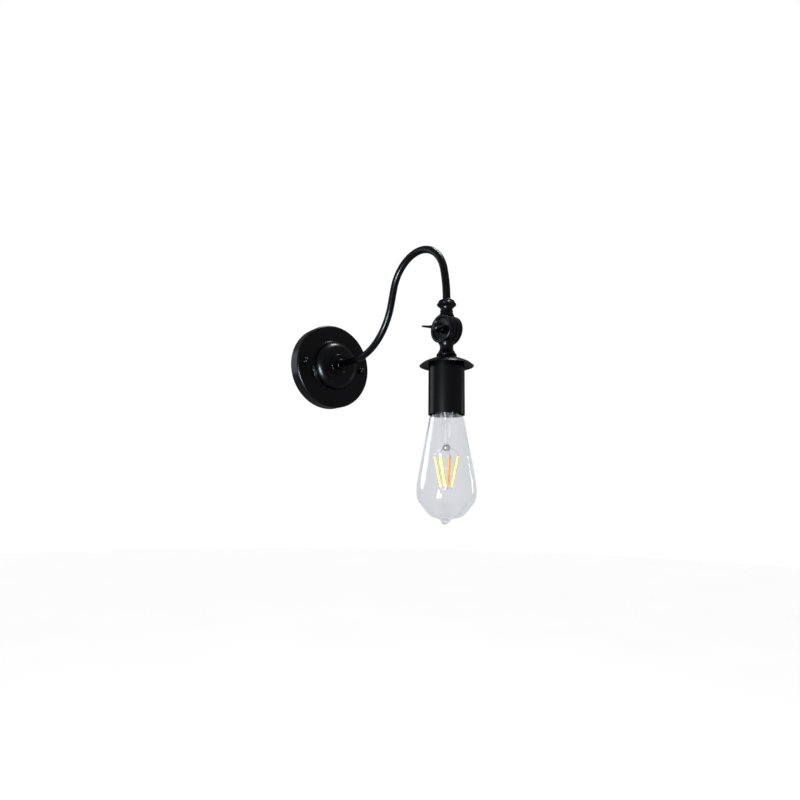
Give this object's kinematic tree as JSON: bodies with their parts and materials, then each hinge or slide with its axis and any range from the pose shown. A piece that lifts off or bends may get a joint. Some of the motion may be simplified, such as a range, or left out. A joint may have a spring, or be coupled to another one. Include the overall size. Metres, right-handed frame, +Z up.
{
  "type": "wall lamp",
  "caption": "Wall lamp with a round domed wall plate, a gooseneck arm, a clamped tilting knuckle, a dish and cup shade holder and a clear pear-shaped bulb.",
  "frame": {"origin": "centre of the wall plate's back face, on the wall surface (the plane y = 0)", "axes": "+Z up; +Y into the wall, so the lamp stands out along -Y; +X to the right seen from the room; the arm lies in the plane x = 0"},
  "size_m": [0.12, 0.2824, 0.3312],
  "materials": {
    "black_enamel": "satin black enamel, slightly bluish highlights",
    "zinc_steel": "zinc-plated steel, satin",
    "brass": "turned brass, bright",
    "nylon_white": "natural white nylon",
    "fibre": "pressed fibre, matt, near black",
    "flex_sheath": "black PVC sheath",
    "core_pvc": "brown and blue PVC insulation",
    "earth_pvc": "green and yellow PVC insulation",
    "phenolic": "moulded phenolic, matt black",
    "bronze": "phosphor bronze strip",
    "cap_nickel": "nickel-plated, rolled thread",
    "cap_glass": "black vitrite insulator",
    "solder": "tinned contact",
    "clear_glass": "clear blown glass",
    "silvered": "bright metal bead",
    "phosphor": "yellow phosphor coating",
    "wire": "bright nickel wire",
    "board": "white circuit board"
  },
  "bodies": {
    "wall_side": {"wall_bracket": "zinc_steel", "bracket_studs": "zinc_steel", "cap_nuts": "black_enamel", "backplate": "black_enamel", "arm_rosette": "black_enamel", "arm_collar": "black_enamel", "arm_washer": "zinc_steel", "arm_locknut": "zinc_steel", "arm_bush": "nylon_white", "gooseneck_arm": "black_enamel", "arm_flex": "flex_sheath", "terminal_block": "nylon_white", "terminal_ways": "brass", "terminal_screws": "zinc_steel", "block_screw": "zinc_steel", "earth_screw": "brass", "earth_tag": "brass", "supply_cores": "core_pvc", "earth_core": "earth_pvc", "arm_cores": "core_pvc", "knuckle_upper": "black_enamel", "friction_ring": "fibre"},
    "wing_slide": {"wing_washer": "zinc_steel"},
    "wing": {"wing_screw": "black_enamel"},
    "head": {"knuckle_lower": "black_enamel", "shade_dish": "black_enamel", "socket_cup": "black_enamel", "head_nipple": "zinc_steel", "head_washer": "zinc_steel", "head_locknut": "zinc_steel", "lampholder_body": "phenolic", "lampholder_bridge": "zinc_steel", "bridge_screws": "zinc_steel", "screw_shell": "brass", "centre_contact": "bronze", "holder_terminals": "brass", "holder_screws": "brass", "head_cores": "core_pvc"},
    "bulb_slide": {"bulb_contact": "solder"},
    "bulb": {"bulb_cap": "cap_nickel", "bulb_insulator": "cap_glass", "bulb_glass": "clear_glass", "bulb_stem": "clear_glass", "stem_bead": "silvered", "led_filaments": "phosphor", "filament_hooks": "wire", "filament_links": "wire", "bulb_driver": "board"}
  },
  "joints": [
    {"name": "head_tilt", "type": "hinge", "parent": "wall_side", "child": "head", "pos_m": [0, -0.2502, 0.002], "axis": [1, 0, 0], "range_deg": [-90, 70]},
    {"name": "wing_travel", "type": "slide", "parent": "wall_side", "child": "wing_slide", "axis": [-1, 0, 0], "range_m": [0, 0.0008]},
    {"name": "wing_turn", "type": "hinge", "parent": "wing_slide", "child": "wing", "pos_m": [0, -0.2502, 0.002], "axis": [-1, 0, 0], "range_deg": [0, 360]},
    {"name": "bulb_travel", "type": "slide", "parent": "head", "child": "bulb_slide", "axis": [0, 0, -1], "range_m": [0, 0.0166]},
    {"name": "bulb_turn", "type": "hinge", "parent": "bulb_slide", "child": "bulb", "pos_m": [0, -0.2502, -0.07], "axis": [0, 0, -1], "range_deg": [0, 1620]}
  ],
  "couplings": [
    {"joint": "wing_turn", "follows": "wing_travel", "rad_per_m": 7854},
    {"joint": "bulb_travel", "follows": "bulb_turn", "m_per_rad": 0.00057774}
  ]
}
